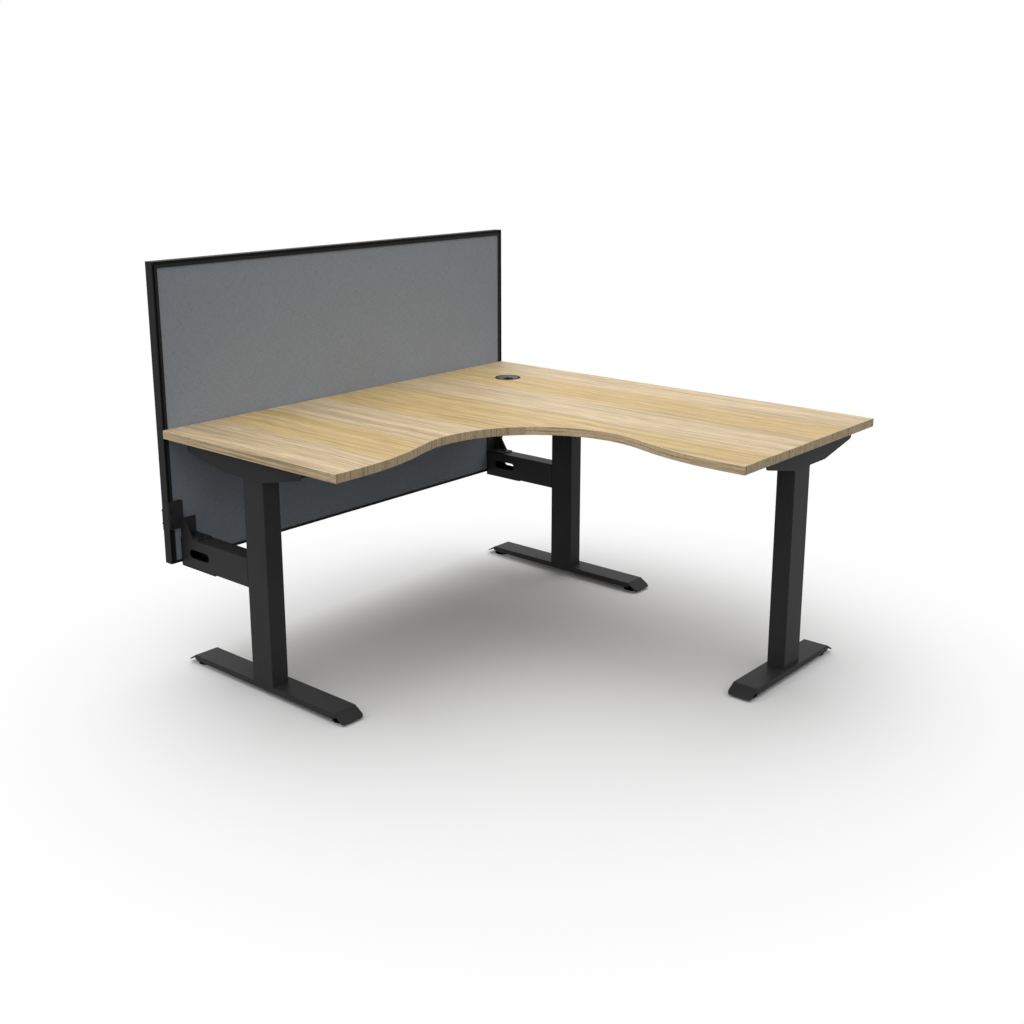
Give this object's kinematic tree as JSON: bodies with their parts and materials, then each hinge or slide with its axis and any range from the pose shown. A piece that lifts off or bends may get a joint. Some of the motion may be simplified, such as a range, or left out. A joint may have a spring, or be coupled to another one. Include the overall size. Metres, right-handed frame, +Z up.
{
  "type": "corner workstation",
  "caption": "L-shaped corner desk with a waved inner edge on column legs with flat feet, with a fabric-covered screen carried on two arms along one side.",
  "frame": {"origin": "on the floor, under the middle of the outer box", "axes": "+X along the right wing, away from the screen; +Y along the left wing towards the back corner; +Z up"},
  "size_m": [1.538, 1.5, 1.224],
  "materials": {
    "oak_board": "light oak melamine, matt",
    "oak_edging": "oak-print edging, matt",
    "outlet_plastic": "fine texture",
    "charcoal_coating": "charcoal powder coat, satin",
    "zinc_plate": "bright zinc",
    "black_steel": "black-coated bolts",
    "black_plastic": "moulded",
    "screen_profile": "charcoal coating, satin",
    "screen_cloth": "plain woven cloth, stretched",
    "core_board": "raw board"
  },
  "bodies": {
    "desk": {"worktop_core": "oak_board", "inner_edge_band": "oak_edging", "left_end_band": "oak_edging", "right_end_band": "oak_edging", "screen_side_band": "oak_edging", "back_edge_band": "oak_edging", "grommet_liner": "outlet_plastic", "left_top_bracket": "charcoal_coating", "corner_top_bracket": "charcoal_coating", "right_top_bracket": "charcoal_coating", "left_column": "charcoal_coating", "corner_column": "charcoal_coating", "right_column": "charcoal_coating", "column_base_plates": "zinc_plate", "column_cap_plates": "zinc_plate", "left_foot": "charcoal_coating", "corner_foot": "charcoal_coating", "right_foot": "charcoal_coating", "glide_bushes": "zinc_plate", "left_rail": "charcoal_coating", "right_rail": "charcoal_coating", "rail_end_plates": "charcoal_coating", "left_arm": "charcoal_coating", "corner_arm": "charcoal_coating", "arm_end_caps": "black_plastic", "left_arm_plate": "charcoal_coating", "corner_arm_plate": "charcoal_coating", "left_screen_bracket": "charcoal_coating", "corner_screen_bracket": "charcoal_coating", "left_rear_clamp": "charcoal_coating", "corner_rear_clamp": "charcoal_coating", "screen_board": "core_board", "front_fabric": "screen_cloth", "rear_fabric": "screen_cloth", "screen_top_bar": "screen_profile", "screen_bottom_bar": "screen_profile", "screen_left_bar": "screen_profile", "screen_right_bar": "screen_profile", "screen_corner_keys": "zinc_plate", "worktop_screws": "zinc_plate", "column_bolts": "zinc_plate", "rail_bolts": "zinc_plate", "arm_bolts": "black_steel", "clamp_bolts": "black_steel"},
    "left_back_glide": {"left_back_pad": "black_plastic"},
    "left_back_screw": {"left_back_stud": "zinc_plate"},
    "left_front_glide": {"left_front_pad": "black_plastic"},
    "left_front_screw": {"left_front_stud": "zinc_plate"},
    "corner_back_glide": {"corner_back_pad": "black_plastic"},
    "corner_back_screw": {"corner_back_stud": "zinc_plate"},
    "corner_front_glide": {"corner_front_pad": "black_plastic"},
    "corner_front_screw": {"corner_front_stud": "zinc_plate"},
    "right_back_glide": {"right_back_pad": "black_plastic"},
    "right_back_screw": {"right_back_stud": "zinc_plate"},
    "right_front_glide": {"right_front_pad": "black_plastic"},
    "right_front_screw": {"right_front_stud": "zinc_plate"},
    "outlet_cover": {"grommet_cover": "outlet_plastic"},
    "outlet_shutter": {"grommet_shutter": "outlet_plastic"}
  },
  "joints": [
    {"name": "left_back_level", "type": "slide", "parent": "desk", "child": "left_back_glide", "axis": [0, 0, -1], "range_m": [0, 0.008]},
    {"name": "left_back_turn", "type": "hinge", "parent": "left_back_glide", "child": "left_back_screw", "pos_m": [-0.685, -0.673, 0.01], "axis": [0, 0, -1], "range_deg": [0, 1920]},
    {"name": "left_front_level", "type": "slide", "parent": "desk", "child": "left_front_glide", "axis": [0, 0, -1], "range_m": [0, 0.008]},
    {"name": "left_front_turn", "type": "hinge", "parent": "left_front_glide", "child": "left_front_screw", "pos_m": [-0.075, -0.673, 0.01], "axis": [0, 0, -1], "range_deg": [0, 1920]},
    {"name": "corner_back_level", "type": "slide", "parent": "desk", "child": "corner_back_glide", "axis": [0, 0, -1], "range_m": [0, 0.008]},
    {"name": "corner_back_turn", "type": "hinge", "parent": "corner_back_glide", "child": "corner_back_screw", "pos_m": [-0.685, 0.704, 0.01], "axis": [0, 0, -1], "range_deg": [0, 1920]},
    {"name": "corner_front_level", "type": "slide", "parent": "desk", "child": "corner_front_glide", "axis": [0, 0, -1], "range_m": [0, 0.008]},
    {"name": "corner_front_turn", "type": "hinge", "parent": "corner_front_glide", "child": "corner_front_screw", "pos_m": [-0.075, 0.704, 0.01], "axis": [0, 0, -1], "range_deg": [0, 1920]},
    {"name": "right_back_level", "type": "slide", "parent": "desk", "child": "right_back_glide", "axis": [0, 0, -1], "range_m": [0, 0.008]},
    {"name": "right_back_turn", "type": "hinge", "parent": "right_back_glide", "child": "right_back_screw", "pos_m": [0.695, 0.601, 0.01], "axis": [0, 0, -1], "range_deg": [0, 1920]},
    {"name": "right_front_level", "type": "slide", "parent": "desk", "child": "right_front_glide", "axis": [0, 0, -1], "range_m": [0, 0.008]},
    {"name": "right_front_turn", "type": "hinge", "parent": "right_front_glide", "child": "right_front_screw", "pos_m": [0.695, 0.195, 0.01], "axis": [0, 0, -1], "range_deg": [0, 1920]},
    {"name": "outlet_lift", "type": "slide", "parent": "desk", "child": "outlet_cover", "axis": [0, 0, 1], "range_m": [0, 0.025]},
    {"name": "outlet_close", "type": "hinge", "parent": "outlet_cover", "child": "outlet_shutter", "pos_m": [-0.5, 0.519, 0.734], "axis": [0, 0, 1], "range_deg": [0, 180]}
  ],
  "couplings": [
    {"joint": "left_back_turn", "follows": "left_back_level", "rad_per_m": 4188.8},
    {"joint": "left_front_turn", "follows": "left_front_level", "rad_per_m": 4188.8},
    {"joint": "corner_back_turn", "follows": "corner_back_level", "rad_per_m": 4188.8},
    {"joint": "corner_front_turn", "follows": "corner_front_level", "rad_per_m": 4188.8},
    {"joint": "right_back_turn", "follows": "right_back_level", "rad_per_m": 4188.8},
    {"joint": "right_front_turn", "follows": "right_front_level", "rad_per_m": 4188.8}
  ]
}
